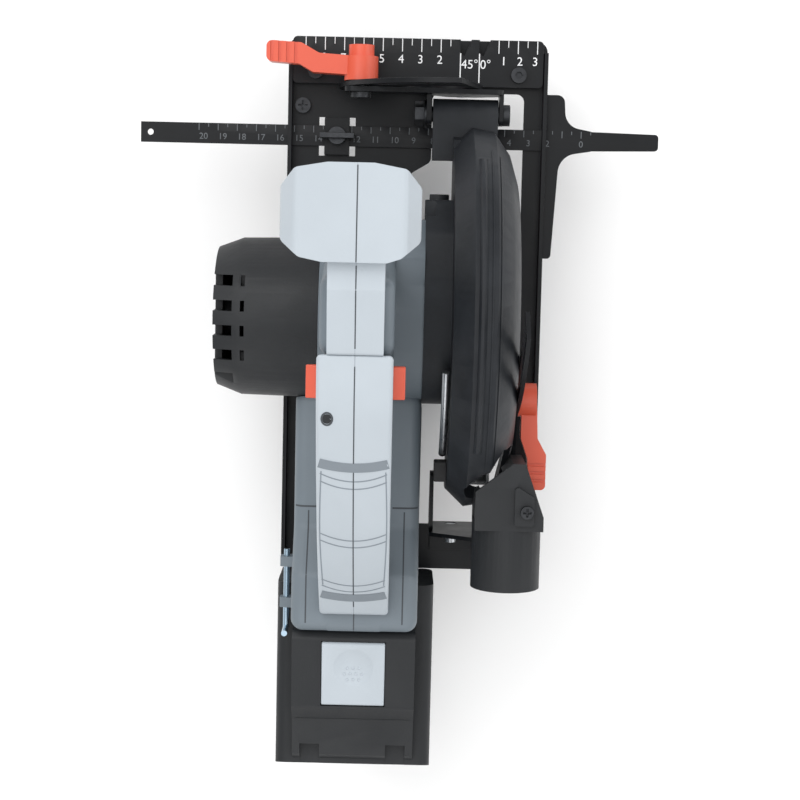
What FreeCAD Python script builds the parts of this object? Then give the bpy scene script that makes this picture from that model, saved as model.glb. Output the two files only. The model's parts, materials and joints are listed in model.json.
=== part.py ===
"""Cordless circular saw with a tilting, height-adjustable head on a graduated shoe.

Row frame, millimetres: the sole is Z = 0 with +Z up, the arbor is at Y = 0 with +Y to the front,
and X = 0 is the parting plane of the body shells with the blade on the +X side.
"""
import FreeCAD, Part
import math
import os

V = FreeCAD.Vector
TAU = 2.0 * math.pi

# Driving dimensions
BLADE_R = 82.5
BLADE_T = 1.4
BLADE_TEETH = 24
BLADE_X = 58.0
ARBOR_Z = 28.0
MOTOR_Z = 53.0
SPINDLE_R = 5.0
SHOE_X = (-41.0, 93.5)
SHOE_Y = (-137.0, 143.0)
SHOE_T = 2.0
FLANGE_H = 10.0
BEVEL_X = 49.0
BEVEL_Z = 13.4
BEVEL_SLOT_R = 56.1
BEVEL_BOLT = (-2.8, 35.0)
DEPTH_Y = 103.6
DEPTH_Z = 26.0
DEPTH_SLOT_R = 145.5
DEPTH_BOLT = (-39.0, 55.0)
DEPTH_RANGE = 32.0
BEVEL_RANGE = 45.0
BAR_Y = (87.0, 97.6)
BAR_Z = (2.2, 4.2)
BAR_X = (-118.2, 152.7)
WALL = 2.5
FIT = 0.05
GAP = 0.3
BODY_HALF = 31.5
GRIP_HALF = 17.0
FRONT_GRIP_X = -2.8
BATTERY_Y = (-243.0, -136.0)
BATTERY_HALF = 40.0
DUST_X = 74.3
DUST_Z = 78.0
DUST_R = 17.0
DUST_BORE = 14.8
DUST_SCREW = (82.9, -89.0)
GEAR_SCREWS = [(-33.0, 66.0), (-20.0, 84.0), (22.0, 84.0), (50.0, 58.0)]
HOUSING_SCREWS = [(-28.0, 20.0), (-96.0, 52.0), (-146.0, 65.0), (20.0, 104.0), (2.0, 140.0)]
MOTOR_SCREWS = [(30.5 * math.cos(math.radians(a)), MOTOR_Z + 30.5 * math.sin(math.radians(a)))
                for a in (0, 180, 235, 305)]
GEAR_MODULE = 1.0
GEAR_TEETH = 40
PINION_TEETH = 10


# Shape helpers
def box(x0, x1, y0, y1, z0, z1):
    return Part.makeBox(x1 - x0, y1 - y0, z1 - z0, V(x0, y0, z0))


def rod_x(x0, x1, r, y=0.0, z=0.0):
    return Part.makeCylinder(r, x1 - x0, V(x0, y, z), V(1, 0, 0))


def rod_y(y0, y1, r, x=0.0, z=0.0):
    return Part.makeCylinder(r, y1 - y0, V(x, y0, z), V(0, 1, 0))


def rod_z(z0, z1, r, x=0.0, y=0.0):
    return Part.makeCylinder(r, z1 - z0, V(x, y, z0), V(0, 0, 1))


def union(shapes):
    """One shape from many that meet."""
    first = shapes[0]
    if len(shapes) == 1:
        return first
    return first.fuse(shapes[1:]).removeSplitter()


def minus(shape, tools):
    return shape.cut(tools)


def in_plane(normal, u, v, at):
    """The 3-D point of (u, v) in the plane across one axis: x -> (Y, Z), y -> (X, Z), z -> (X, Y)."""
    if normal == "x":
        return V(at, u, v)
    if normal == "y":
        return V(u, at, v)
    return V(u, v, at)


def outline(points, radius, normal, at):
    """Closed wire through the points, with every corner rounded where its sides leave room."""
    count = len(points)
    corners = []
    for i in range(count):
        p = points[i]
        before = points[i - 1]
        after = points[(i + 1) % count]
        r = p[2] if len(p) > 2 else radius
        a = FreeCAD.Vector(before[0] - p[0], before[1] - p[1], 0)
        b = FreeCAD.Vector(after[0] - p[0], after[1] - p[1], 0)
        la = a.Length
        lb = b.Length
        a.normalize()
        b.normalize()
        half = math.acos(max(-1.0, min(1.0, a.dot(b)))) / 2.0
        if r <= 0.0 or half > math.radians(89.0):
            corners.append((V(p[0], p[1], 0), None, V(p[0], p[1], 0)))
            continue
        reach = min(r / math.tan(half), 0.48 * la, 0.48 * lb)
        true_r = reach * math.tan(half)
        start = V(p[0], p[1], 0) + a * reach
        end = V(p[0], p[1], 0) + b * reach
        middle_way = (a + b).normalize()
        middle = V(p[0], p[1], 0) + middle_way * (true_r / math.sin(half) - true_r)
        corners.append((start, middle, end))
    edges = []
    for i in range(count):
        start, middle, end = corners[i]
        if middle is not None:
            edges.append(Part.Arc(*[in_plane(normal, q.x, q.y, at) for q in (start, middle, end)]).toShape())
        follow = corners[(i + 1) % count][0]
        if (follow - end).Length > 1e-6:
            edges.append(Part.makeLine(in_plane(normal, end.x, end.y, at),
                                       in_plane(normal, follow.x, follow.y, at)))
    return Part.Wire(edges)


def prism(normal, points, lo, hi, radius=0.0):
    """Solid with the given outline across one axis, from lo to hi along it."""
    face = Part.Face(outline(points, radius, normal, lo))
    way = {"x": V(hi - lo, 0, 0), "y": V(0, hi - lo, 0), "z": V(0, 0, hi - lo)}[normal]
    return face.extrude(way)


def turned_x(profile, y, z):
    """Solid of revolution about an X-direction axis at (y, z); profile is (X, radius) points."""
    wire = Part.makePolygon([V(x, y, z + r) for x, r in profile + profile[:1]])
    return Part.Face(wire).revolve(V(0, y, z), V(1, 0, 0), 360)


def soften(shape, radius, wanted):
    """Round the wanted edges, with a smaller radius where the full one does not fit."""
    edges = [e for e in shape.Edges if wanted(e)]
    for scale in (1.0, 0.7, 0.45, 0.25):
        try:
            result = shape.makeFillet(radius * scale, edges)
            if result.isValid() and len(result.Solids) == len(shape.Solids):
                return result
        except Exception:
            continue
    return shape


def edge_in_plane_x(x):
    """Test for edges that lie in the plane X = x."""
    def test(edge):
        bounds = edge.BoundBox
        return abs(bounds.XMin - x) < 1e-4 and abs(bounds.XMax - x) < 1e-4
    return test


def arc_slot(normal, cu, cv, r, width, deg0, deg1, lo, hi):
    """Cutting tool for a curved slot of one radius about (cu, cv), with round ends."""
    ring_outer = rod(normal, lo, hi, r + width / 2.0, cu, cv)
    ring_inner = rod(normal, lo, hi, r - width / 2.0, cu, cv)
    ring = ring_outer.cut(ring_inner)
    reach = 3.0 * r
    middle = math.radians((deg0 + deg1) / 2.0)
    a0 = math.radians(deg0)
    a1 = math.radians(deg1)
    wedge = prism(normal, [(cu, cv),
                           (cu + reach * math.cos(a0), cv + reach * math.sin(a0)),
                           (cu + reach * math.cos(middle), cv + reach * math.sin(middle)),
                           (cu + reach * math.cos(a1), cv + reach * math.sin(a1))], lo, hi)
    ends = [rod(normal, lo, hi, width / 2.0, cu + r * math.cos(a), cv + r * math.sin(a)) for a in (a0, a1)]
    return ring.common(wedge).fuse(ends)


def rod(normal, lo, hi, r, u, v):
    if normal == "x":
        return rod_x(lo, hi, r, u, v)
    if normal == "y":
        return rod_y(lo, hi, r, u, v)
    return rod_z(lo, hi, r, u, v)


def cap_screw(normal, head_at, tip_at, head_r, shank_r, u, v, socket=True):
    """Screw with a domed or socket head; head_at and tip_at lie along the axis."""
    way = 1.0 if tip_at > head_at else -1.0
    head_h = 0.75 * head_r
    under = head_at + way * head_h
    head = rod(normal, min(head_at, under), max(head_at, under), head_r, u, v)
    shank = rod(normal, min(under, tip_at), max(under, tip_at), shank_r, u, v)
    drive_deep = head_at + way * head_h * 0.6
    lo = min(head_at, drive_deep)
    hi = max(head_at, drive_deep)
    if socket:
        flats = [(u + 0.5 * head_r * math.cos(k * TAU / 6), v + 0.5 * head_r * math.sin(k * TAU / 6))
                 for k in range(6)]
        drive = prism(normal, flats, lo, hi)
    else:
        arm = 0.62 * head_r
        slim = 0.14 * head_r
        drive = union([
            prism(normal, [(u - arm, v - slim), (u + arm, v - slim),
                           (u + arm, v + slim), (u - arm, v + slim)],
                  lo, hi),
            prism(normal, [(u - slim, v - arm), (u + slim, v - arm),
                           (u + slim, v + arm), (u - slim, v + arm)],
                  lo, hi)])
    return union([head, shank]).cut(drive)


def coil(r, wire_r, pitch, turns, at, way):
    """Compression or torsion spring: one helix of round wire about an axis through a point."""
    helix = Part.makeHelix(pitch, pitch * turns, r)
    start = helix.Edges[0].valueAt(helix.Edges[0].FirstParameter)
    section = Part.Wire(Part.makeCircle(wire_r, start, V(0, 1, 0)))
    spring = Part.Wire(helix.Edges).makePipeShell([section], True, True)
    spring.Placement = FreeCAD.Placement(V(*at), FreeCAD.Rotation(V(0, 0, 1), V(*way)))
    return spring


def export(name, shape):
    solids = shape.Solids
    result = solids[0] if len(solids) == 1 else Part.makeCompound(solids)
    result.exportStep("parts/" + name + ".step")


# Shoe and what is fixed to it
def blade_opening(lo, hi):
    """Cutting tool for the window in the shoe that the blade and the guards pass through."""
    return prism("z", [(22, -112.8), (82, -112.8), (82, 116), (34, 116), (34, 80), (24, 74), (22, 70)],
                 lo, hi, 4.0)


def shoe_plate():
    x0, x1 = SHOE_X
    y0, y1 = SHOE_Y
    plate = prism("z", [(x0, y0), (x1, y0), (x1, y1), (x0, y1)], 0, SHOE_T, 5.0)
    flanges = [box(x0, x0 + SHOE_T, y0 + 6, y1 - 6, 0, FLANGE_H),
               box(x1 - SHOE_T, x1, y0 + 6, y1 - 6, 0, FLANGE_H)]
    pad = prism("z", [(83.5, -48), (90.5, -48), (90.5, -24), (83.5, -24)], 0, SHOE_T + 1.2, 2.5)
    strap = union([box(-22, -9, 82.5, 85.5, SHOE_T, 4.8), box(-22, -9, 98.5, 101.5, SHOE_T, 4.8),
                   box(-22, -9, 82.5, 101.5, 4.5, 6.5)])
    shoe = union([plate, pad, strap] + flanges)
    bar_way = box(x0 - 1, x1 + 1, BAR_Y[0] - GAP, BAR_Y[1] + GAP, SHOE_T, BAR_Z[1] + GAP)
    strap_slots = [box(-25, -22, 82, 102, -1, SHOE_T + 1), box(-9, -6, 82, 102, -1, SHOE_T + 1)]
    plate_holes = [rod_z(-1, 6, 1.6, x, 125.2) for x in (-26.9, 78.2)]
    tapped = rod_z(4, 7, 1.5, -15.3, 92.3)
    corner_hole = rod_z(-1, 4, 1.6, -33.6, 107.8)
    rest = [blade_opening(-1, 5), bar_way, tapped, corner_hole]
    return minus(shoe, rest + strap_slots + plate_holes)


def scale_plate():
    """Graduated front plate with a notch at the 0 and at the 45 degree cutting line."""
    top = prism("z", [(-39, 119), (91, 119), (91, 143), (-39, 143)], 7, 9, 2.5)
    skirts = [box(-37, -34, 121, 141, SHOE_T, 7.5), box(86, 89, 121, 141, SHOE_T, 7.5),
              box(-30, 84, 120, 122, SHOE_T, 7.5)]
    bosses = [rod_z(SHOE_T, 7.5, 4.2, x, 125.2) for x in (-26.9, 78.2)]
    plate = union([top] + skirts + bosses)
    notches = [prism("z", [(x, 144), (x, 136), (x + 2, 134.5), (x + 6, 144)], 1, 10) for x in (57.7, 47.9)]
    marks = []
    for step in range(-9, 4):
        x = 57.7 + 10.0 * step
        if x > 84:
            continue
        marks.append(box(x - 0.2, x + 0.2, 136, 144, 8.75, 9.5))
        marks.append(box(x + 4.8, x + 5.2, 139.4, 144, 8.75, 9.5))
    holes = [rod_z(1, 10, 1.6, x, 125.2) for x in (-26.9, 78.2)]
    return minus(plate, notches + marks + holes)


def scale_plate_screws():
    screws = [cap_screw("z", 12.4, 0.4, 4.0, 1.6, x, 125.2) for x in (-26.9, 78.2)]
    screws.append(cap_screw("z", 5.0, 0.4, 4.0, 1.6, -33.6, 107.8, socket=False))
    return Part.makeCompound(screws)


def bevel_quadrant():
    """Upright plate with the curved slot that the bevel clamp bolt runs in."""
    y0 = 116.2
    y1 = 118.7
    disc = rod_y(y0, y1, BEVEL_SLOT_R + 7.4, BEVEL_X, BEVEL_Z)
    keep = prism("y", [(-16, SHOE_T), (59, SHOE_T), (59, 24), (46, 80), (-16, 80)], y0, y1)
    foot = box(-12, 59, y1 - 0.1, y1 + 0.3, SHOE_T, 8)
    rest_deg = 180.0 - math.degrees(math.asin((BEVEL_BOLT[1] - BEVEL_Z) / BEVEL_SLOT_R))
    slot = arc_slot("y", BEVEL_X, BEVEL_Z, BEVEL_SLOT_R, 6.6, rest_deg - BEVEL_RANGE, rest_deg,
                    y0 - 1, y1 + 1)
    light = arc_slot("y", BEVEL_X, BEVEL_Z, 30.0, 20.0, 105, 165, y0 - 1, y1 + 1)
    pin_hole = rod_y(y0 - 1, y1 + 1, 3.0, BEVEL_X, BEVEL_Z)
    return minus(union([disc.common(keep), foot]), [slot, light, pin_hole])


def rear_bevel_bracket():
    """Lug on the rear crossbar that carries the rear tilt pin."""
    ear = prism("y", [(38, SHOE_T), (60, SHOE_T), (57, 20), (41, 20)], -115.4, -112.9, 5.0)
    foot = box(38, 60, -126, -112.9, SHOE_T, 4.5)
    hole = rod_y(-117, -111, 3.0, BEVEL_X, BEVEL_Z)
    return minus(union([ear, foot]), [hole])


def bevel_pivot_pins():
    front = union([rod_y(113.0, 120.5, 3.0, BEVEL_X, BEVEL_Z), rod_y(118.7, 120.9, 4.2, BEVEL_X, BEVEL_Z)])
    rear = union([rod_y(-120.0, -110.3, 3.0, BEVEL_X, BEVEL_Z),
                  rod_y(-117.6, -115.4, 5.0, BEVEL_X, BEVEL_Z)])
    return Part.makeCompound([front, rear])


def fence_lock_screw():
    """Thumb screw that clamps the fence bar under its strap."""
    head = rod_z(6.8, 11.5, 4.7, -15.3, 92.3)
    wings = box(-24.3, -6.3, 90.9, 93.7, 8.0, 15.5)
    shank = rod_z(BAR_Z[1] + 0.1, 6.9, 1.45, -15.3, 92.3)
    return union([head, wings, shank])


def rip_fence():
    """Graduated bar with a guide plate whose lip runs below the sole."""
    bar = prism("z", [(BAR_X[0], BAR_Y[0]), (104, BAR_Y[0]), (104, BAR_Y[1]), (BAR_X[0], BAR_Y[1])],
                BAR_Z[0], BAR_Z[1])
    tail = prism("z", [(103, BAR_Y[0]), (BAR_X[1], BAR_Y[0] + 1), (BAR_X[1], BAR_Y[1] - 1), (103, BAR_Y[1])],
                 BAR_Z[0], BAR_Z[1], 2.0)
    lip = prism("x", [(30.7, -12), (116, -12), (116, BAR_Z[1]), (30.7, BAR_Z[1])], 94.0, 96.5, 3.0)
    shelf = prism("z", [(94.0, 30.7), (98.0, 30.7, 3.0), (101.0, 84.5, 14.0), (118.0, BAR_Y[0] + 0.2, 1.0),
                        (118.0, BAR_Y[1] - 0.2, 1.0), (104.0, 100.0, 12.0), (103.0, 116.0, 4.0),
                        (94.0, 116.0)],
                  BAR_Z[0], BAR_Z[1])
    fence = union([bar, tail, lip, shelf])
    marks = []
    for step in range(0, 20):
        x = 112.2 - 10.0 * step
        if x < 92:
            marks.append(box(x - 0.25, x + 0.25, 93.6, BAR_Y[1] + 0.1, BAR_Z[1] - 0.25, BAR_Z[1] + 1))
    hole = rod_z(0, 8, 1.6, -113.2, 92.3)
    return minus(fence, marks + [hole])


# Tilting frame between the shoe and the saw head
def pivot_bracket():
    """Front web with two arms for the depth pivot and a long arm for the bevel clamp."""
    y0 = 113.4
    y1 = 115.9
    web = prism("y", [(-11, 27), (28, 27), (42, 8.2), (56, 8.2), (69.6, 18), (69.6, 36), (20, 43),
                      (-11, 43)],
                y0, y1, 5.0)
    arms = []
    for x0, x1 in ((30.7, 33.2), (67.6, 69.6)):
        arm = prism("x", [(98.2, 20), (y1, 18.5), (y1, 34), (98.2, 32)], x0, x1, 3.0)
        arms.append(arm)
    bracket = union([web] + arms)
    pin_hole = rod_y(y0 - 1, y1 + 1, 3.0 + FIT, BEVEL_X, BEVEL_Z)
    bolt_hole = rod_y(y0 - 1, y1 + 1, 3.0, BEVEL_BOLT[0], BEVEL_BOLT[1])
    pivot_holes = rod_x(29, 71, 4.0, DEPTH_Y, DEPTH_Z)
    return minus(bracket, [pin_hole, bolt_hole, pivot_holes])


def depth_quadrant():
    """Rear web and the upright plate with the depth-of-cut slot."""
    web = prism("y", [(37, 8), (79.3, 8), (79.3, 50), (62, 56), (37, 42)], -112, -110, 4.0)
    ear = prism("x", [(-110.5, 14), (-110.5, 40), (-80, 32), (-80, 24)], 37, 39, 4.0)
    x0 = 77.3
    x1 = 79.3
    band = rod_x(x0, x1, DEPTH_SLOT_R + 8.5, DEPTH_Y, DEPTH_Z)
    band = band.cut(rod_x(x0 - 1, x1 + 1, DEPTH_SLOT_R - 8.5, DEPTH_Y, DEPTH_Z))
    top_deg = math.radians(180.0 - 46.5)
    top = (DEPTH_Y + 200.0 * math.cos(top_deg), DEPTH_Z + 200.0 * math.sin(top_deg))
    band = band.common(prism("x", [(DEPTH_Y, DEPTH_Z), (-80, 29), (-80, 200), top], x0, x1))
    link = prism("x", [(-112, 29), (-30, 29), (-33, 56), (-44, 66), (-62, 57), (-112, 50)], x0, x1, 4.0)
    plate = union([band, link, web, ear])
    rest_deg = 180.0 - math.degrees(math.asin((DEPTH_BOLT[1] - DEPTH_Z) / DEPTH_SLOT_R))
    slot = arc_slot("x", DEPTH_Y, DEPTH_Z, DEPTH_SLOT_R, 6.6, rest_deg - DEPTH_RANGE, rest_deg,
                    x0 - 1, x1 + 1)
    pin_hole = rod_y(-113, -109, 3.0 + FIT, BEVEL_X, BEVEL_Z)
    return minus(plate, [slot, pin_hole])


def bevel_clamp_bolt():
    x, z = BEVEL_BOLT
    shank = rod_y(110.4, 134.0, 3.0, x, z)
    head = rod_y(110.4, 113.4, 5.2, x, z)
    return union([shank, head])


def depth_pivot_bolt():
    """Shoulder bolt that the saw head swings on, with its washer and nut."""
    shank = rod_x(27.0, 71.0, 4.0, DEPTH_Y, DEPTH_Z)
    head = rod_x(69.6, 73.2, 5.4, DEPTH_Y, DEPTH_Z)
    nut_face = [(DEPTH_Y + 6.4 * math.cos(k * TAU / 6), DEPTH_Z + 6.4 * math.sin(k * TAU / 6))
                for k in range(6)]
    nut = prism("x", nut_face, 24.7, 29.5)
    washer = rod_x(29.5, 30.7, 7.2, DEPTH_Y, DEPTH_Z)
    return union([shank, head, nut, washer])


def bevel_lock_lever():
    """Clamp lever on the bevel bolt with a ribbed thumb end."""
    x, z = BEVEL_BOLT
    hub = union([rod_y(119.0, 131.0, 8.5, x, z), rod_y(130.5, 136.7, 6.4, x, z)])
    arm = prism("z", [(x - 4, 121.5), (-27, 122.5), (-34, 126.5), (-50.5, 127.5), (-50.5, 138), (-33, 137),
                      (-24, 132), (x - 4, 131)], z - 5.5, z + 5.0, 3.0)
    lever = union([hub, arm])
    grooves = [box(gx, gx + 1.6, 124, 140, z + 4.2, z + 6) for gx in (-36.5, -40.5, -44.5, -48.5)]
    return minus(lever, [rod_y(118, 134.2, 3.0 + FIT, x, z)] + grooves)


def depth_lock_bolt():
    y, z = DEPTH_BOLT
    return union([rod_x(74.3, 86.5, 3.0, y, z), rod_x(86.3, 88.2, 4.6, y, z)])


def depth_lock_lever():
    """Clamp lever on the depth bolt, its thumb end set outward."""
    y, z = DEPTH_BOLT
    hub = rod_x(79.7, 88.8, 8.5, y, z)
    arm = prism("z", [(81.5, y + 2), (89, y + 2), (90, -58), (94.5, -66), (94.5, -84), (86.5, -84),
                      (85, -68),
                      (81.5, -58)], z - 5.0, z + 4.5, 2.5)
    lever = union([hub, arm])
    grooves = [box(84, 96, gy, gy + 1.6, z + 3.7, z + 6) for gy in (-72, -76, -80)]
    return minus(lever, [rod_x(79, 93, 3.0 + FIT, y, z), rod_x(86.0, 95, 4.6 + FIT, y, z)] + grooves)


# Guards and gear case
def guard_outer():
    return turned_x([(44.5, 0), (44.5, 88), (54, 97), (65, 95), (73, 84), (77, 71), (77, 0)], 0, ARBOR_Z)


def guard_cavity():
    return turned_x([(47.5, 0), (47.5, 87.5), (51, 90.5), (66.8, 90.5), (70.5, 84), (74, 69), (74, 0)],
                    0, ARBOR_Z)


def upper_guard():
    shell = guard_outer()
    knuckle = union([box(34, 67, 80, DEPTH_Y, 25.2, 33.8), rod_x(34, 67, 7.8, DEPTH_Y, DEPTH_Z),
                     prism("x", [(74, 33), (92, 33), (90, 46), (74, 60)], 44.5, 62)])
    ridge = turned_x([(55.5, 96), (57, 98.5), (58.5, 98.5), (60, 96)], 0, ARBOR_Z)
    ridge = ridge.common(box(50, 64, -60, 80, 60, 140))
    body = union([shell, knuckle, ridge])
    below = box(40, 80, -120, 120, -80, 25.0)
    below = below.cut(rod_x(30, 80, 7.8, DEPTH_Y, DEPTH_Z).fuse(box(30, 80, 96, 120, 18, 40)))
    side_window = prism("x", [(-34, 0), (-34, 52), (-22, 64), (22, 64), (34, 52), (34, 0)], 73.5, 78, 8.0)
    left_hole = rod_x(44, 48, 26.0, 0, ARBOR_Z)
    pivot = rod_x(30, 72, 4.0 + FIT, DEPTH_Y, DEPTH_Z)
    lock_hole = rod_x(73, 78, 3.0, DEPTH_BOLT[0], DEPTH_BOLT[1])
    dust_way = rod_y(-97, -60, 13.0, 66, DUST_Z)
    screw_holes = [rod_x(44, 48, 3.8, y, z) for y, z in GEAR_SCREWS]
    return minus(body, [guard_cavity(), below, side_window, left_hole, pivot, lock_hole, dust_way]
                 + screw_holes)


def gear_housing():
    """Cast case for the gear pair, with the boss that the lower guard turns on."""
    low = rod_x(31, 44.5, 25.5, 0, ARBOR_Z)
    high = rod_x(31, 44.5, 42.0, 0, MOTOR_Z)
    nose = prism("x", [(20, 22), (60, 34), (60, 66), (44, 84), (10, 90)], 31, 44.5, 7.0)
    nose_step = box(30, 36, 52, 62, 66, 90)
    boss = rod_x(42, 52, 17.0, 0, ARBOR_Z)
    case = union([low, high, nose.cut(nose_step), boss])
    gear_room = rod_x(33.5, 42.3, 21.6, 0, ARBOR_Z)
    pinion_room = rod_x(33.5, 42.3, 8.0, 0, MOTOR_Z)
    shaft_hole = rod_x(28, 34, 8.0, 0, MOTOR_Z)
    bearing_seat = rod_x(42.0, 49.0, 11.0, 0, ARBOR_Z)
    spindle_way = rod_x(48, 53, 6.0, 0, ARBOR_Z)
    rear_seat = rod_x(31.0, 33.6, 8.0, 0, ARBOR_Z)
    lock_way = rod_y(10, 62, 2.5 + FIT, 37.9, 46.0)
    lock_room = rod_y(48, 62, 5.2, 37.9, 46.0)
    screw_holes = [rod_x(30.5, 46, 2.0, y, z) for y, z in GEAR_SCREWS]
    return minus(case, [gear_room, pinion_room, shaft_hole, bearing_seat, spindle_way, rear_seat, lock_way,
                        lock_room] + screw_holes)


def gear_housing_screws():
    return Part.makeCompound([cap_screw("x", 47.4, 33.0, 3.6, 2.0, y, z) for y, z in GEAR_SCREWS])


def lower_guard():
    """Spring-closed guard: a rim, one inner side, a narrow outer side and a hub ring."""
    a0 = -185.0
    a1 = -5.0
    side = turned_x([(50, 17.3), (51.5, 17.3), (51.5, 86), (50, 86)], 0, ARBOR_Z)
    rim = turned_x([(50, 84.5), (67.5, 84.5), (67.5, 86), (50, 86)], 0, ARBOR_Z)
    outer = turned_x([(66, 62), (67.5, 62), (67.5, 86), (66, 86)], 0, ARBOR_Z)
    shell = union([side, rim, outer])
    reach = 130.0
    wedge_points = [(0.0, ARBOR_Z)]
    for k in range(0, 5):
        a = math.radians(a0 + (a1 - a0) * k / 4.0)
        wedge_points.append((reach * math.cos(a), ARBOR_Z + reach * math.sin(a)))
    shell = shell.common(prism("x", wedge_points, 45, 70))
    hub = rod_x(45.0, 51.5, 19.0, 0, ARBOR_Z)
    stop = box(50, 57, -86.5, -82, ARBOR_Z - 4, ARBOR_Z + 6)
    stop = stop.common(rod_x(40, 70, 88.5, 0, ARBOR_Z))
    guard = union([shell, hub, stop])
    return minus(guard, [rod_x(44, 53, 17.0 + FIT, 0, ARBOR_Z)])


def guard_bumper():
    """Rubber stop on the outside of the guard's left flank."""
    return box(38.2, 44.5, -80, -70, 55, 66)


def guard_spring():
    """Long return spring of the lower guard, bowed along the flank of the upper guard."""
    path = Part.Arc(V(42.2, -22, 98), V(42.2, -47, 84), V(42.2, -66, 62)).toShape()
    start = path.valueAt(path.FirstParameter)
    way = path.tangentAt(path.FirstParameter)
    section = Part.Wire(Part.makeCircle(1.9, start, way))
    return Part.Wire([path]).makePipeShell([section], True, True)


def dust_port():
    """Sawdust spout: a round collar on a tapered transition from the guard's flank."""
    collar = rod_y(-129.5, -95, DUST_R, DUST_X, DUST_Z)
    throat = prism("z", [(58, -99), (91.3, -99), (91.3, -92), (82, -66), (76, -66), (58, -80)],
                   DUST_Z - DUST_R, DUST_Z + DUST_R)
    lug = prism("z", [(77, -96), (86.5, -96), (86.5, -82), (77, -76)], DUST_Z + DUST_R - 0.1,
                DUST_Z + DUST_R + 2.4, 1.5)
    port = union([collar, throat, lug])
    bore = rod_y(-131, -94, DUST_BORE, DUST_X, DUST_Z)
    hollow = prism("z", [(60, -94.5), (88.8, -94.5), (88.8, -92), (81, -70), (60, -70)],
                   DUST_Z - DUST_R + 2.2, DUST_Z + DUST_R - 2.2)
    screw_hole = rod_z(90, 99, 1.6, DUST_SCREW[0], DUST_SCREW[1])
    quadrant_room = box(76.9, 79.7, -100, -60, 40, DUST_Z - DUST_R + 0.01)
    return minus(port, [bore, hollow, guard_outer(), screw_hole, quadrant_room])


# Body shells and grips
def body_outline():
    """Side view of the mid-grey body from the battery foot to the tower."""
    return [(-155, 10), (-30, 10), (-22, 20), (24, 16), (50, 40), (50, 74), (34, 92), (26, 132), (24, 150),
            (-10, 150), (-13, 128), (-16, 96), (-38, 66), (-104, 64), (-126, 80), (-155, 80)]


def body_solid():
    """Outer form of the body: the wide foot, the motor ring and the narrower tower."""
    wide = prism("x", [(-155, 10), (-30, 10), (-30, 50), (-38, 66), (-104, 64), (-126, 80), (-155, 80)],
                 -BODY_HALF, BODY_HALF, 7.0)
    wide = soften(wide, 6.0, edge_in_plane_x(BODY_HALF))
    wide = soften(wide, 6.0, edge_in_plane_x(-BODY_HALF))
    spine = prism("x", body_outline(), -GRIP_HALF, GRIP_HALF, 6.0)
    spine = soften(spine, 5.0, edge_in_plane_x(GRIP_HALF))
    spine = soften(spine, 5.0, edge_in_plane_x(-GRIP_HALF))
    ring = rod_x(-20, 31, 40.0, 0, MOTOR_Z)
    lobe = prism("x", [(0, 24), (30, 24), (50, 42), (50, 70), (34, 88), (0, 88)], -18, 31, 8.0)
    return union([wide, spine, ring, lobe])


def body_hollow():
    """Space inside the body shells."""
    foot = prism("x", [(-150, 13), (-26, 13), (-26, 50), (-38, 63), (-104, 61), (-124, 77), (-150, 77)],
                 -BODY_HALF + WALL, BODY_HALF - WALL, 5.0)
    room = rod_x(-21, 28.5, 37.0, 0, MOTOR_Z)
    lobe = prism("x", [(0, 27), (28, 27), (47, 44), (47, 68), (32, 85), (0, 85)], -15.5, 28.5, 6.0)
    tower = prism("x", [(-13, 90), (30, 90), (22, 146), (-8, 146), (-10, 128)], -GRIP_HALF + WALL,
                  GRIP_HALF - WALL, 3.0)
    shaft = rod_x(28, 32, 14.0, 0, MOTOR_Z)
    return union([foot, room, lobe, tower, shaft])


def battery_slot():
    """Cutting tool for the shoe of the battery that slides into the foot from behind."""
    return union([box(-BATTERY_HALF - 2, BATTERY_HALF + 2, -160, -135.7, 0, 50.3),
                  box(-26.3, 26.3, -160, -119.7, 20, 50.3)])


def screw_posts(side):
    """Screw posts between the two shells; the left ones are longer than the right ones."""
    posts = []
    for y, z in HOUSING_SCREWS:
        if side < 0:
            posts.append(rod_x(-GRIP_HALF + 1, -0.0, 3.8, y, z))
        else:
            posts.append(rod_x(0.0, GRIP_HALF - 1, 3.8, y, z))
    return posts


def housing_shell(side):
    half = box(-100, 0, -300, 200, -50, 250) if side < 0 else box(0, 100, -300, 200, -50, 250)
    shell = body_solid().cut([body_hollow(), battery_slot()])
    shell = union([shell] + screw_posts(side)).common(half)
    tools = [rod_x(-40, 40, 1.6, y, z) for y, z in HOUSING_SCREWS]
    tools += [rod_x(-40, -GRIP_HALF + 4, 3.4, y, z) for y, z in HOUSING_SCREWS]
    tools.append(gear_clearance())
    tools.append(trigger_mouth())
    if side < 0:
        tools.append(rod_x(-80, -20, 40.0 + GAP, 0, MOTOR_Z))
    shell = shell.cut(tools)
    return max(shell.Solids, key=lambda s: s.Volume)


def gear_clearance():
    return rod_x(31, 60, 44.0, 0, MOTOR_Z)


def trigger_mouth():
    """Opening under the rear grip that the trigger comes out of."""
    return box(-6.3, 6.3, -61.3, -28.7, 108, 146)


def grip_outline():
    """Side view of the rear grip loop, from the crown down to the foot."""
    return [(-10.3, 150.3), (-9, 168, 1), (-30, 166, 60), (-62, 152, 80), (-95, 132, 80), (-120, 110, 60),
            (-144, 85, 20), (-145, 80.3, 1), (-110, 80.3, 1), (-102, 86, 12), (-78, 108, 60), (-52, 123, 60),
            (-30, 132, 30), (-13.3, 135, 3)]


def grip_solid():
    grip = prism("x", grip_outline(), -GRIP_HALF, GRIP_HALF, 5.0)
    grip = soften(grip, 8.0, edge_in_plane_x(GRIP_HALF))
    return soften(grip, 8.0, edge_in_plane_x(-GRIP_HALF))


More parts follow.
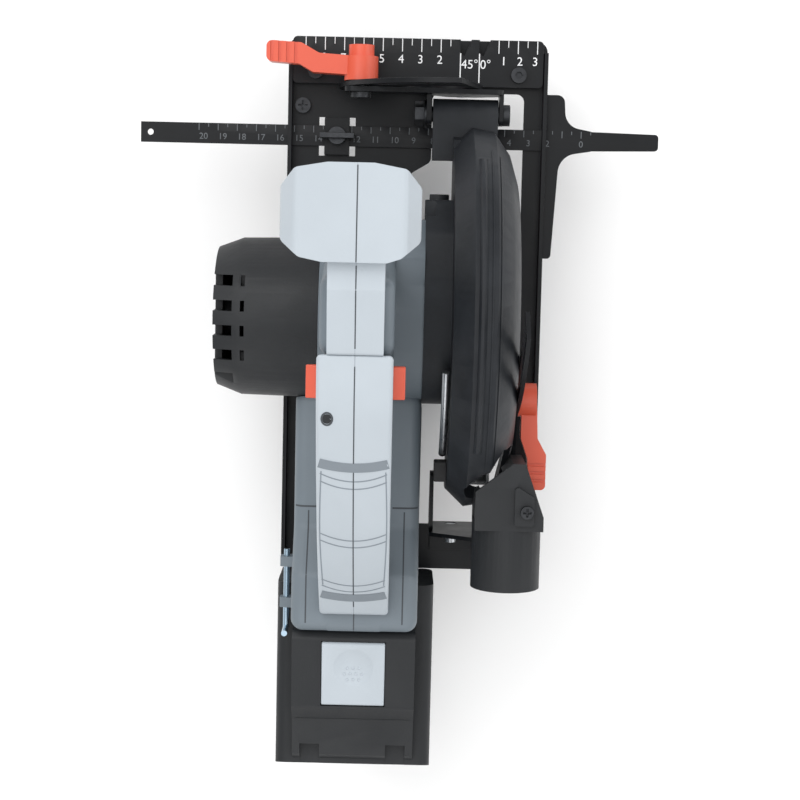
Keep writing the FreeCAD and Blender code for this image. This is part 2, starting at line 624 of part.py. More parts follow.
def grip_hollow():
    return prism("x", [(-16, 150), (-15, 160), (-30, 160), (-58, 147), (-91, 127), (-114, 106), (-130, 86),
                       (-112, 86), (-98, 93), (-76, 112), (-51, 127), (-30, 136), (-16, 139)],
                 -GRIP_HALF + WALL + 0.5, GRIP_HALF - WALL - 0.5, 2.0)


def rear_grip(side):
    """Half of the hollow rear grip, with the lock-off slot and the trigger mouth."""
    half = box(-100, 0, -300, 200, -50, 250) if side < 0 else box(0, 100, -300, 200, -50, 250)
    lock_slot = box(-30, 30, -31.2, -14.8, 138.6, 148.6)
    shell = grip_solid().cut([grip_hollow(), trigger_mouth(), lock_slot, crown_solid()])
    return max(shell.common(half).Solids, key=lambda s: s.Volume)


def crown_solid():
    """Neck that joins the tower, the rear grip and the front grip."""
    neck = prism("x", [(-9, 150.2), (30, 150.2), (34, 160), (34, 178), (20, 178), (-9, 169)],
                 -12.5, 12.5, 2.0)
    return neck


def front_grip_solid():
    """Cross-wise front grip with chamfered ends and a gently arched front edge."""
    mid = FRONT_GRIP_X
    bar = prism("z", [(mid - 22, 34), (mid - 12, 32), (mid + 16, 32), (mid + 22, 34), (mid + 30.5, 41),
                      (mid + 30.5, 64), (mid + 24, 72), (mid + 10, 74.5), (mid - 10, 74.5), (mid - 24, 72),
                      (mid - 30.5, 64), (mid - 30.5, 41)], 158, 185, 4.0)
    ends = prism("y", [(mid - 30.5, 165), (mid - 23, 158), (mid + 23, 158), (mid + 30.5, 165),
                       (mid + 30.5, 177), (mid + 24, 185), (mid - 24, 185), (mid - 30.5, 177)], 20, 80, 4.0)
    return bar.common(ends)


def front_grip(side):
    """Half of the hollow front grip with its half of the neck."""
    half = box(-100, 0, -300, 200, -50, 250) if side < 0 else box(0, 100, -300, 200, -50, 250)
    hollow = union([box(FRONT_GRIP_X - 25, FRONT_GRIP_X + 25, 40, 68, 163, 180),
                    box(-9, 9, 8, 42, 155, 169)])
    shell = union([front_grip_solid(), crown_solid()]).cut(hollow)
    return max(shell.common(half).Solids, key=lambda s: s.Volume)


def motor_cover():
    """Black end cap of the motor with five vent slots."""
    skirt = turned_x([(-20.2, 0), (-20.2, 40), (-59, 39.2), (-71, 34.6), (-71, 0)], 0, MOTOR_Z)
    room = turned_x([(-19, 0), (-19, 35.5), (-57, 34.7), (-67.5, 31), (-67.5, 0)], 0, MOTOR_Z)
    shell = skirt.cut(room)
    vents = []
    for k in range(5):
        y = 19.0 - 12.0 * k
        vents.append(box(-72, -61.5, y - 2.6, y + 2.6, 74, 110))
        vents.append(box(-57.5, -55.5, y - 2.6, y + 2.6, 84, 110))
    spine_room = union([prism("x", body_outline(), -GRIP_HALF - GAP, 0, 6.0)])
    posts = [rod_x(-69.0, -22, 4.0, y, z) for y, z in MOTOR_SCREWS]
    bearing_seat = rod_x(-67.6, -60.5, 10.5, 0, MOTOR_Z).cut(rod_x(-67.4, -60, 8.0, 0, MOTOR_Z))
    holes = [rod_x(-72, -21, 1.6, y, z) for y, z in MOTOR_SCREWS]
    head_seats = [rod_x(-74, -68.4, 3.3, y, z) for y, z in MOTOR_SCREWS]
    cover = union([shell, bearing_seat] + posts).cut(vents + holes + head_seats + [spine_room])
    return max(cover.Solids, key=lambda s: s.Volume)


def case_screws():
    """The cross-head screws of the body shells, the motor cover and the dust port, all of one kind."""
    screws = [cap_screw("x", -GRIP_HALF + 0.6, 12.0, 3.2, 1.6, y, z, socket=False)
              for y, z in HOUSING_SCREWS]
    screws += [cap_screw("x", -70.8, -45.0, 3.2, 1.6, y, z, socket=False) for y, z in MOTOR_SCREWS]
    screws.append(cap_screw("z", 99.8, 90.5, 3.2, 1.6, DUST_SCREW[0], DUST_SCREW[1], socket=False))
    return Part.makeCompound(screws)


# Motor and gear train
def motor_magnet_can():
    """Steel ring that holds the motor's magnets, with two locating flanges."""
    ring = rod_x(-38, 12, 26.0, 0, MOTOR_Z)
    flanges = [rod_x(-15, -13, 37.0, 0, MOTOR_Z), rod_x(8, 10, 37.0, 0, MOTOR_Z)]
    return minus(union([ring] + flanges), [rod_x(-40, 14, 22.6, 0, MOTOR_Z)])


def armature_shaft():
    return union([rod_x(-67, 34, 4.0, 0, MOTOR_Z), rod_x(33, 41.8, 3.0, 0, MOTOR_Z)])


def armature_core():
    """Laminated core with open slots."""
    core = rod_x(-31, 7, 21.6, 0, MOTOR_Z)
    slots = []
    for k in range(12):
        slot = box(-32, 8, -1.1, 1.1, MOTOR_Z + 15.5, MOTOR_Z + 23)
        slot.rotate(V(0, 0, MOTOR_Z), V(1, 0, 0), 30.0 * k)
        slots.append(slot)
    return minus(core, slots + [rod_x(-32, 8, 4.0, 0, MOTOR_Z)])


def commutator():
    return minus(rod_x(-53, -40, 10.0, 0, MOTOR_Z), [rod_x(-54, -39, 4.0, 0, MOTOR_Z)])


def cooling_fan():
    hub = rod_x(13.5, 24, 7.0, 0, MOTOR_Z)
    plate = rod_x(13.5, 15.0, 32.0, 0, MOTOR_Z)
    blades = []
    for k in range(12):
        blade = box(14.9, 23.0, -0.8, 0.8, MOTOR_Z + 15, MOTOR_Z + 31)
        blade.rotate(V(0, 0, MOTOR_Z), V(1, 0, 0), 30.0 * k)
        blades.append(blade)
    return minus(union([hub, plate] + blades), [rod_x(12, 25, 4.0, 0, MOTOR_Z)])


def ball_bearings():
    """The two bearings of the armature shaft and the two of the output spindle."""
    rings = []
    for x0, x1, r, bore, z in ((-66.5, -61.0, 8.0, 4.0, MOTOR_Z), (28.6, 33.4, 8.0, 4.0, MOTOR_Z),
                               (31.1, 33.4, 8.0, SPINDLE_R, ARBOR_Z),
                               (42.2, 48.9, 11.0, SPINDLE_R, ARBOR_Z)):
        rings.append(rod_x(x0, x1, r, 0, z).cut(rod_x(x0 - 1, x1 + 1, bore + FIT, 0, z)))
    return Part.makeCompound(rings)


def brush_holder():
    plate = minus(rod_x(-49, -46, 34.0, 0, MOTOR_Z), [rod_x(-50, -45, 13.0, 0, MOTOR_Z)])
    plate = plate.cut([rod_x(-50, -45, 4.3, y, z) for y, z in MOTOR_SCREWS])
    boxes = [box(-50.5, -42.5, -4.2, 4.2, MOTOR_Z + s * 19.5 - 7, MOTOR_Z + s * 19.5 + 7) for s in (-1, 1)]
    ways = [box(-49.0, -44.0, -3.0, 3.0, MOTOR_Z + s * 19.5 - 8, MOTOR_Z + s * 19.5 + 8) for s in (-1, 1)]
    return minus(union([plate] + boxes), ways)


def carbon_brushes():
    return Part.makeCompound([box(-49.0, -44.0, -3.0, 3.0, min(MOTOR_Z + s * 10.4, MOTOR_Z + s * 23.5),
                                  max(MOTOR_Z + s * 10.4, MOTOR_Z + s * 23.5)) for s in (-1, 1)])


def spur_gear(teeth, outer, root, x0, x1, z, thin, phase):
    """Involute spur gear about an X axis; phase is the angle of one tooth from +Y, in degrees."""
    pressure = math.radians(20.0)
    pitch_r = GEAR_MODULE * teeth / 2.0
    base = pitch_r * math.cos(pressure)
    involute_at_pitch = math.tan(pressure) - pressure
    half = math.pi / (2.0 * teeth) - thin / pitch_r + involute_at_pitch
    radii = [max(base, root) + (outer - max(base, root)) * k / 4.0 for k in range(5)]
    flank = []
    for r in radii:
        a = math.acos(min(1.0, base / r))
        flank.append((r, half - (math.tan(a) - a)))
    if root < base:
        flank.insert(0, (root, half))
    points = []
    for k in range(teeth):
        centre = math.radians(phase) + TAU * k / teeth
        for r, a in flank:
            points.append((r * math.cos(centre - a), z + r * math.sin(centre - a)))
        for r, a in reversed(flank):
            points.append((r * math.cos(centre + a), z + r * math.sin(centre + a)))
    return prism("x", points, x0, x1)


def pinion():
    return minus(spur_gear(PINION_TEETH, 5.9, 4.1, 34.5, 41.5, MOTOR_Z, 0.14, 18.0),
                 [rod_x(34, 42, 3.0, 0, MOTOR_Z)])


def drive_gear():
    return minus(spur_gear(GEAR_TEETH, 20.6, 18.8, 34.5, 41.5, ARBOR_Z, 0.12, 4.5),
                 [rod_x(34, 42, SPINDLE_R, 0, ARBOR_Z)])


def output_spindle():
    return minus(rod_x(31.4, 58.6, SPINDLE_R, 0, ARBOR_Z), [rod_x(48, 60, 3.0, 0, ARBOR_Z)])


def inner_flange():
    disc = union([rod_x(52.4, 57.3, 19.0, 0, ARBOR_Z), rod_x(57.3, 58.4, 8.0, 0, ARBOR_Z)])
    relief = rod_x(56.6, 57.4, 14.0, 0, ARBOR_Z).cut(rod_x(56, 58, 8.0, 0, ARBOR_Z))
    return minus(disc, [rod_x(50, 60, SPINDLE_R, 0, ARBOR_Z), relief])


def outer_flange():
    return minus(turned_x([(58.7, 0), (58.7, 18.5), (60, 18.5), (62, 14), (62, 0)], 0, ARBOR_Z),
                 [rod_x(58, 63, 3.0, 0, ARBOR_Z)])


def blade_bolt():
    face = [(6.9 * math.cos(k * TAU / 6), ARBOR_Z + 6.9 * math.sin(k * TAU / 6)) for k in range(6)]
    head = prism("x", face, 62.6, 67.3)
    flange = rod_x(62, 63.4, 8.2, 0, ARBOR_Z)
    return union([head, flange, rod_x(49, 62.2, 3.0, 0, ARBOR_Z)])


def saw_blade():
    """Toothed disc; every tooth leads towards the front at the bottom of its path."""
    tooth = [(76.0, -14.0), (75.0, -12.0), (79.5, -8.0), (BLADE_R - 0.2, -1.2), (BLADE_R, 0.0), (76.0, -0.8)]
    points = []
    for k in range(BLADE_TEETH):
        for r, deg in tooth:
            a = math.radians(deg + 360.0 * k / BLADE_TEETH)
            points.append((r * math.cos(a), ARBOR_Z + r * math.sin(a)))
    disc = prism("x", points, BLADE_X - BLADE_T / 2, BLADE_X + BLADE_T / 2)
    slits = []
    for k in range(4):
        slit = union([box(57, 59, -0.5, 0.5, ARBOR_Z + 62, ARBOR_Z + 90),
                      rod_x(57, 59, 2.2, 0, ARBOR_Z + 62)])
        slit.rotate(V(0, 0, ARBOR_Z), V(1, 0, 0), 90.0 * k + 5.0)
        slits.append(slit)
    return minus(disc, slits + [rod_x(56, 60, 8.0, 0, ARBOR_Z)])


# Switch, controls and electronics
def trigger():
    blade = prism("x", [(-60.5, 136), (-32, 141), (-32, 124), (-37, 118.5), (-48, 113), (-60.5, 112)],
                  -6, 6, 3.0)
    return soften(soften(blade, 1.5, edge_in_plane_x(6.0)), 1.5, edge_in_plane_x(-6.0))


def trigger_spring():
    return coil(2.8, 0.45, 1.8, 5.5, (0, -45, 140.0), (0, 0, 1))


def switch_module():
    return union([box(-8, 8, -82, -65, 120.5, 130.5), box(-3, 3, -65.1, -61.5, 122, 128)])


def lockoff_button():
    bar = box(-22.5, 22.5, -30.5, -15.5, 142.5, 148.0)
    pads = [prism("y", [(s * 17.3, 142.5), (s * 22.5, 143.5), (s * 22.5, 147), (s * 17.3, 148)],
                  -30.5, -15.5)
            for s in (-1, 1)]
    core = box(-17.3, 17.3, -30.5, -15.5, 142.5, 148.0)
    return union([core] + pads).common(bar)


def lockoff_spring():
    return coil(3.0, 0.4, 1.4, 2.6, (0, -23, 138.2), (0, 0, 1))


def spindle_lock_button():
    return union([rod_y(18.4, 54, 2.5, 37.9, 46.0), rod_y(53, 62.8, 4.9, 37.9, 46.0)])


def spindle_lock_spring():
    return coil(3.8, 0.45, 1.4, 2.4, (37.9, 48.7, 46.0), (0, 1, 0))


def control_board():
    board = box(-22, 22, -107.5, -60, 20, 21.6)
    chips = [box(-14, -4, -98, -88, 21.6, 24),
             box(4, 16, -84, -70, 21.6, 30),
             rod_z(21.6, 38, 5.5, -12, -74)]
    return union([board] + chips)


def terminal_block():
    block = box(-16, 16, -119.4, -108, 20, 42)
    blades = [box(x - 0.5, x + 0.5, -132, -119, 25, 37) for x in (-10, -4, 4, 10)]
    return union([block] + blades)


def hex_key():
    """Blade key kept in the clips on the left of the foot."""
    leg = rod_y(-158, -117.5, 1.5, -35.0, 56.0)
    bend = Part.makeSphere(1.5, V(-35.0, -158, 56.0))
    short = rod_z(56.0, 70.0, 1.5, -35.0, -158)
    return union([leg, bend, short])


def hex_key_clips():
    """Two clips on the left of the foot that the blade key slides through."""
    clips = [prism("y", [(-38.2, 53), (-30.5, 51.5), (-30.5, 60.5), (-38.2, 59)], y, y + 5, 1.0)
             for y in (-126, -147)]
    return clips


def left_housing():
    return union([housing_shell(-1)] + hex_key_clips()).cut(
        [body_hollow(), rod_y(-150, -115, 1.5 + FIT, -35.0, 56.0)])


def right_housing():
    return housing_shell(1)


# Battery
def battery_rear_cut(grow):
    """Wedge behind the sloping rear face of the battery; grow moves it forward for the inside."""
    return prism("x", [(-243.5 + grow, 4), (-242.8 + grow, 6), (-230.6 + grow, 51), (-230.6 + grow, 60),
                       (-250, 60), (-250, 4)], -42, 42)


def battery_case_lower():
    y0, y1 = BATTERY_Y
    tray = prism("y", [(-40, 6), (40, 6), (40, 34), (-40, 34)], y0, y1 - GAP, 5.0)
    tray = tray.cut([box(-41, 41, y0 - 1, y1 + 1, 28, 36), battery_rear_cut(0.0)])
    room = box(-37.6, 37.6, y0 + 2.4, y1 - GAP - 2.2, 8.4, 40)
    return minus(tray, [room.cut(battery_rear_cut(2.4))])


def battery_top_outline():
    return [(-156.3, 45), (-156.3, 69), (-160, 71.5), (-196.5, 67), (-205, 59), (-225, 54), (-232, 45)]


def battery_case_upper():
    y0, y1 = BATTERY_Y
    deck = prism("y", [(-40, 22), (40, 22), (40, 50), (-40, 50)], y0, y1 - GAP, 6.0)
    deck = deck.cut([box(-41, 41, y0 - 1, y1 + 1, 20, 28), battery_rear_cut(0.0)])
    tower = prism("x", battery_top_outline(), -BODY_HALF + 0.5, BODY_HALF - 0.5, 3.0)
    tongue = box(-26, 26, -140, -120, 38, 50)
    lid = union([deck, tower, tongue])
    room = box(-37.6, 37.6, y0 + 2.4, y1 - GAP - 2.2, 20, 47.4).cut(battery_rear_cut(2.4))
    pocket = box(-16.2, 16.2, -195.6, -161.2, 55, 80)
    channels = [prism("y", [(s * 17, 49.5), (s * 17, 60), (s * 27, 60), (s * 27, 49.5)], -240, -219)
                for s in (-1, 1)]
    return minus(lid, [room, pocket] + channels)


def battery_cells():
    """Ten round cells in two rows across the pack."""
    cells = []
    for row in range(2):
        for k in range(5):
            cells.append(rod_x(-32.5, 32.5, 8.85, -147.7 - 17.75 * k, 17.6 + 19.6 * row))
    return Part.makeCompound(cells)


def battery_button():
    plate = prism("x", [(-195.2, 60), (-195.2, 67.4), (-161.6, 72.6), (-161.6, 60)], -15.9, 15.9, 1.5)
    dish = Part.makeSphere(26.0, V(0, -178.5, 94.2))
    return plate.cut(dish)


def battery_latch_spring():
    return coil(5.0, 0.5, 1.6, 2.2, (0, -178.5, 55.7), (0, 0, 1))


PIECES = {
    "shoe_plate": shoe_plate,
    "scale_plate": scale_plate,
    "scale_plate_screws": scale_plate_screws,
    "bevel_quadrant": bevel_quadrant,
    "rear_bevel_bracket": rear_bevel_bracket,
    "bevel_pivot_pins": bevel_pivot_pins,
    "fence_lock_screw": fence_lock_screw,
    "rip_fence": rip_fence,
    "pivot_bracket": pivot_bracket,
    "depth_quadrant": depth_quadrant,
    "bevel_clamp_bolt": bevel_clamp_bolt,
    "depth_pivot_bolt": depth_pivot_bolt,
    "bevel_lock_lever": bevel_lock_lever,
    "depth_lock_bolt": depth_lock_bolt,
    "depth_lock_lever": depth_lock_lever,
    "upper_guard": upper_guard,
    "gear_housing": gear_housing,
    "gear_housing_screws": gear_housing_screws,
    "lower_guard": lower_guard,
    "guard_bumper": guard_bumper,
    "guard_spring": guard_spring,
    "dust_port": dust_port,
    "left_housing": left_housing,
    "right_housing": right_housing,
    "case_screws": case_screws,
    "rear_grip_left": lambda: rear_grip(-1),
    "rear_grip_right": lambda: rear_grip(1),
    "front_grip_left": lambda: front_grip(-1),
    "front_grip_right": lambda: front_grip(1),
    "motor_cover": motor_cover,
    "motor_magnet_can": motor_magnet_can,
    "brush_holder": brush_holder,
    "carbon_brushes": carbon_brushes,
    "armature_shaft": armature_shaft,
    "armature_core": armature_core,
    "commutator": commutator,
    "cooling_fan": cooling_fan,
    "ball_bearings": ball_bearings,
    "pinion": pinion,
    "output_spindle": output_spindle,
    "drive_gear": drive_gear,
    "inner_flange": inner_flange,
    "outer_flange": outer_flange,
    "blade_bolt": blade_bolt,
    "saw_blade": saw_blade,
    "trigger": trigger,
    "trigger_spring": trigger_spring,
    "switch_module": switch_module,
    "lockoff_button": lockoff_button,
    "lockoff_spring": lockoff_spring,
    "spindle_lock_button": spindle_lock_button,
    "spindle_lock_spring": spindle_lock_spring,
    "control_board": control_board,
    "terminal_block": terminal_block,
    "hex_key": hex_key,
    "battery_case_lower": battery_case_lower,
    "battery_case_upper": battery_case_upper,
    "battery_cells": battery_cells,
    "battery_button": battery_button,
    "battery_latch_spring": battery_latch_spring,
}


def main():
    os.makedirs("parts", exist_ok=True)
    for name, make in PIECES.items():
        export(name, make())


main()
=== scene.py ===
"""Looks of the cordless circular saw: materials, rounded edges, grips, scales, camera and light."""

import json
import math

import bmesh
import bpy
from mathutils import Matrix, Vector
from mathutils.bvhtree import BVHTree


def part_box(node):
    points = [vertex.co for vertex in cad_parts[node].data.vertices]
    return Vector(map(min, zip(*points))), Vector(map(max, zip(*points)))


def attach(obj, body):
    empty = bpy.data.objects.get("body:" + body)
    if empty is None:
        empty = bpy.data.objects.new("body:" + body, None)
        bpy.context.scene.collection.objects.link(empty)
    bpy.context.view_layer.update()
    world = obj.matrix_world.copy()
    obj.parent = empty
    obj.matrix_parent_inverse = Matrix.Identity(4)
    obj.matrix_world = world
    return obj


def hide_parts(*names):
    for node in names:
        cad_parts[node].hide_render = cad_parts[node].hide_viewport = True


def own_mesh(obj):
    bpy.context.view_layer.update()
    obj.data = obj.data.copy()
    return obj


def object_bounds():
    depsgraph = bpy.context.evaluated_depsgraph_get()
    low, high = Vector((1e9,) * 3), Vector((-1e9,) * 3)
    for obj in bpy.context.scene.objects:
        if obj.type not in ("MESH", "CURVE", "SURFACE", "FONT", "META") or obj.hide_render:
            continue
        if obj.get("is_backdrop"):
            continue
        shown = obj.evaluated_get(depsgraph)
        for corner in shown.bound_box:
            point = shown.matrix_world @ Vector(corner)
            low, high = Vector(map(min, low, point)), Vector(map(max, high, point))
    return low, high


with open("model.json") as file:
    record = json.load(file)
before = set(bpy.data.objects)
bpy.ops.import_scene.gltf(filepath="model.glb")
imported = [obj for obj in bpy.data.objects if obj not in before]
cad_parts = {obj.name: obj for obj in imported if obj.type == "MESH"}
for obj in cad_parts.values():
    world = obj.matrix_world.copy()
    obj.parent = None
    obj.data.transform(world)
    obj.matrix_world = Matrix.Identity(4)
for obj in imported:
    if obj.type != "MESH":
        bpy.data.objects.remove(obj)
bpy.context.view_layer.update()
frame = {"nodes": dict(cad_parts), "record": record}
MM = 0.001


# Colours, linear
LIGHT_GREY = (0.43, 0.475, 0.515)
MID_GREY = (0.15, 0.18, 0.205)
BLACK = (0.017, 0.0185, 0.0205)
PAINT = (0.004, 0.0045, 0.0055)
CASTING = (0.013, 0.0145, 0.017)
ORANGE = (0.66, 0.092, 0.045)
ZINC = (0.50, 0.52, 0.54)
BLUE_ZINC = (0.42, 0.55, 0.66)
WHITE = (0.80, 0.81, 0.82)
RUBBED = (0.16, 0.165, 0.17)

# Grip lines, in millimetres: where they lie along the grip and how wide they are
SEAM_WIDTH = 0.55
LINE_WIDTH = 0.6
LINE_LIFT = 0.07
GRIP_BANDS = {"front": -59.0, "rear": -131.0}
GRIP_LINES = (-66.0, -97.0, -123.5)
GRIP_SCREW = (-12.0, -38.0)
FOOT_STEP_Y = -94.0

# Scales, in millimetres
ZERO_X = 57.7
NOTCH_LEFT_X = 47.9
PLATE_TOP = 9.0
FIGURE_Y = 132.2
ANGLE_Y = 130.2
BAR_ZERO_X = 112.2
BAR_TOP = 4.2

# Stage and camera, in metres
FLOOR_HALF = 3.0
FLOOR_DROP = 0.002
LOOK_AT = (0.018, -0.0465, 0.0)
CAMERA_AT = (0.018, 0.0561, 0.9444)
CAMERA_ROLL_DEG = -1.32
LENS = 80.0
WORLD_STRENGTH = 0.62


# Materials
def node_setup(name):
    material = bpy.data.materials.new(name)
    material.use_nodes = True
    tree = material.node_tree
    shader = tree.nodes["Principled BSDF"]
    place = tree.nodes.new("ShaderNodeTexCoord")
    return material, tree, shader, place.outputs["Object"]


def noise(tree, place, scale, detail=4.0, rough=0.55, stretch=(1, 1, 1)):
    spread = tree.nodes.new("ShaderNodeMapping")
    spread.inputs["Scale"].default_value = stretch
    tree.links.new(place, spread.inputs["Vector"])
    texture = tree.nodes.new("ShaderNodeTexNoise")
    texture.inputs["Scale"].default_value = scale
    texture.inputs["Detail"].default_value = detail
    texture.inputs["Roughness"].default_value = rough
    tree.links.new(spread.outputs["Vector"], texture.inputs["Vector"])
    return texture.outputs["Fac"]


def remap(tree, value, low, high, to_low, to_high):
    node = tree.nodes.new("ShaderNodeMapRange")
    node.inputs["From Min"].default_value = low
    node.inputs["From Max"].default_value = high
    node.inputs["To Min"].default_value = to_low
    node.inputs["To Max"].default_value = to_high
    tree.links.new(value, node.inputs["Value"])
    return node.outputs["Result"]


def blend_colour(tree, factor, first, second):
    node = tree.nodes.new("ShaderNodeMix")
    node.data_type = "RGBA"
    node.inputs["A"].default_value = (*first, 1)
    node.inputs["B"].default_value = (*second, 1)
    tree.links.new(factor, node.inputs["Factor"])
    return node.outputs["Result"]


def bumped(tree, shader, heights, distance):
    """Stacks bump from several height fields, each with its own strength."""
    last = None
    for height, strength in heights:
        node = tree.nodes.new("ShaderNodeBump")
        node.inputs["Strength"].default_value = strength
        node.inputs["Distance"].default_value = distance
        tree.links.new(height, node.inputs["Height"])
        if last is not None:
            tree.links.new(last, node.inputs["Normal"])
        last = node.outputs["Normal"]
    tree.links.new(last, shader.inputs["Normal"])


def plastic(name, colour, rough, grain=900.0, relief=0.35, specular=0.45):
    """Moulded plastic: fine spark-eroded grain, slight tone drift and a few rubbed areas."""
    material, tree, shader, place = node_setup(name)
    cloud = noise(tree, place, 18.0, 3.0)
    tone = tuple(0.88 * c for c in colour)
    tree.links.new(blend_colour(tree, remap(tree, cloud, 0.35, 0.65, 0.0, 0.55), colour, tone),
                   shader.inputs["Base Color"])
    rub = noise(tree, place, 45.0, 5.0, 0.6)
    tree.links.new(remap(tree, rub, 0.3, 0.7, rough - 0.07, rough + 0.07), shader.inputs["Roughness"])
    shader.inputs["Specular IOR Level"].default_value = specular
    grain_height = noise(tree, place, grain, 3.0, 0.6)
    bumped(tree, shader, [(cloud, 0.04), (grain_height, relief)], 0.00012)
    return material


def painted(name, colour, rough, pebble=420.0, relief=0.25, worn=0.5):
    """Powder-coated metal: orange-peel relief, dust and small bright rubs."""
    material, tree, shader, place = node_setup(name)
    shader.inputs["Specular IOR Level"].default_value = 0.2
    cloud = noise(tree, place, 30.0, 5.0, 0.65)
    base = blend_colour(tree, remap(tree, cloud, 0.3, 0.75, 0.0, 1.0), colour, tuple(2.1 * c for c in colour))
    speck = noise(tree, place, 260.0, 6.0, 0.7)
    rubs = remap(tree, speck, 0.70, 0.78, 0.0, worn)
    mixer = tree.nodes.new("ShaderNodeMix")
    mixer.data_type = "RGBA"
    mixer.inputs["B"].default_value = (*RUBBED, 1)
    tree.links.new(rubs, mixer.inputs["Factor"])
    tree.links.new(base, mixer.inputs["A"])
    tree.links.new(mixer.outputs["Result"], shader.inputs["Base Color"])
    tree.links.new(remap(tree, cloud, 0.3, 0.7, rough - 0.08, rough + 0.1), shader.inputs["Roughness"])
    peel = noise(tree, place, pebble, 2.0, 0.5)
    bumped(tree, shader, [(peel, relief)], 0.00015)
    return material


def metal(name, colour, rough, grain=(1, 1, 1), scratch=500.0):
    """Bare or plated metal with fine directional scratches and a little tarnish."""
    material, tree, shader, place = node_setup(name)
    shader.inputs["Metallic"].default_value = 1.0
    cloud = noise(tree, place, 60.0, 5.0, 0.6)
    tree.links.new(blend_colour(tree, remap(tree, cloud, 0.35, 0.75, 0.0, 0.8), colour,
                                tuple(0.6 * c for c in colour)), shader.inputs["Base Color"])
    lines = noise(tree, place, scratch, 4.0, 0.6, grain)
    tree.links.new(remap(tree, lines, 0.3, 0.7, rough - 0.08, rough + 0.12), shader.inputs["Roughness"])
    bumped(tree, shader, [(lines, 0.18)], 0.00008)
    return material


MATERIALS = {
    "light_grey_plastic": plastic("light_grey_shell", LIGHT_GREY, 0.48),
    "mid_grey_plastic": plastic("mid_grey_shell", MID_GREY, 0.52),
    "black_plastic": plastic("black_shell", BLACK, 0.52, 700.0, 0.55, 0.3),
    "black_oxide": metal("black_oxide", (0.05, 0.052, 0.056), 0.42),
    "orange_plastic": plastic("orange_lever", ORANGE, 0.38, 700.0, 0.18),
    "painted_steel": painted("black_powder_coat", PAINT, 0.36),
    "cast_case": painted("gear_case_paint", CASTING, 0.50, 300.0, 0.5, 0.25),
    "cast_guard": painted("guard_paint", CASTING, 0.47, 260.0, 0.6, 0.45),
    "plated_steel": metal("zinc_plate", ZINC, 0.33),
    "bearing_steel": metal("ground_steel", (0.58, 0.58, 0.58), 0.25),
    "blade_steel": metal("blade_steel", (0.55, 0.56, 0.57), 0.28, (1, 6, 6)),
    "guard_alloy": metal("guard_alloy", (0.56, 0.57, 0.59), 0.36),
    "lamination": metal("lamination_steel", (0.30, 0.30, 0.31), 0.45, (40, 1, 1)),
    "copper": metal("commutator_copper", (0.72, 0.36, 0.20), 0.35),
    "carbon": plastic("pressed_carbon", (0.02, 0.02, 0.02), 0.7),
    "circuit_board": plastic("solder_mask", (0.02, 0.14, 0.06), 0.35),
    "cell_wrap": plastic("cell_wrap", (0.05, 0.18, 0.4), 0.3),
    "rubber": plastic("stop_rubber", (0.018, 0.018, 0.019), 0.75),
}
PRINT = plastic("scale_print", WHITE, 0.5, 400.0, 0.1)
FENCE_PRINT = plastic("bar_print", (0.10, 0.11, 0.12), 0.5, 400.0, 0.1)
# Dark ribbons of painted shade along seams, steps and screw recesses, where the grooves fall into shade
PAINTED_SHADE = plastic("seam_shadow", (0.055, 0.062, 0.07), 0.7)
PALE_GROOVE = plastic("grip_line", (0.21, 0.24, 0.27), 0.65)
BAND = plastic("grip_band", (0.19, 0.218, 0.245), 0.6, 600.0, 0.5)
KEY_FINISH = metal("blue_passivate", BLUE_ZINC, 0.3, (1, 12, 12))

BODY_OF = {node: body for body, nodes in frame["record"]["behaviour"]["bodies"].items() for node in nodes}
SLOT_OF = {row["node"]: row["material_slot"] for row in frame["record"]["subparts"]}


# Shape helpers
def add_object(name, mesh, body, material):
    piece = bpy.data.objects.new(name, mesh)
    bpy.context.collection.objects.link(piece)
    mesh.materials.clear()
    mesh.materials.append(material)
    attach(piece, body)
    return piece


def smooth_by_angle(mesh, degrees):
    for polygon in mesh.polygons:
        polygon.use_smooth = True
    mesh.set_sharp_from_angle(angle=math.radians(degrees))


def rounded_copy(node, width, material=None):
    """A copy of a CAD node with its hard edges broken, shown in its place."""
    mesh = frame["nodes"][node].data.copy()
    work = bmesh.new()
    work.from_mesh(mesh)
    bmesh.ops.remove_doubles(work, verts=work.verts, dist=2e-6)
    bmesh.ops.dissolve_limit(work, angle_limit=math.radians(0.6), verts=work.verts, edges=work.edges)
    work.to_mesh(mesh)
    work.free()
    slot = SLOT_OF[node]
    piece = add_object(node + "_finish", mesh, BODY_OF[node], material or MATERIALS[slot])
    bevel = piece.modifiers.new("edge", "BEVEL")
    bevel.width = width
    bevel.segments = 2
    bevel.limit_method = "ANGLE"
    bevel.angle_limit = math.radians(38)
    bevel.harden_normals = True
    smooth_by_angle(mesh, 32)
    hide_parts(node)
    return piece


def surface_tree(*nodes):
    """Search tree over the surface of some CAD nodes."""
    vertices = []
    faces = []
    for node in nodes:
        mesh = frame["nodes"][node].data
        base = len(vertices)
        vertices += [v.co.copy() for v in mesh.vertices]
        faces += [[base + i for i in p.vertices] for p in mesh.polygons]
    return BVHTree.FromPolygons(vertices, faces)


def top_point(tree, x, y, lift):
    """The point above (x, y) on the upper side of a surface, raised by lift along its normal."""
    hit, normal, _, _ = tree.ray_cast(Vector((x, y, 0.4)), Vector((0, 0, -1)))
    if hit is None:
        return None
    if normal.z < 0:
        normal = -normal
    return hit + normal * lift


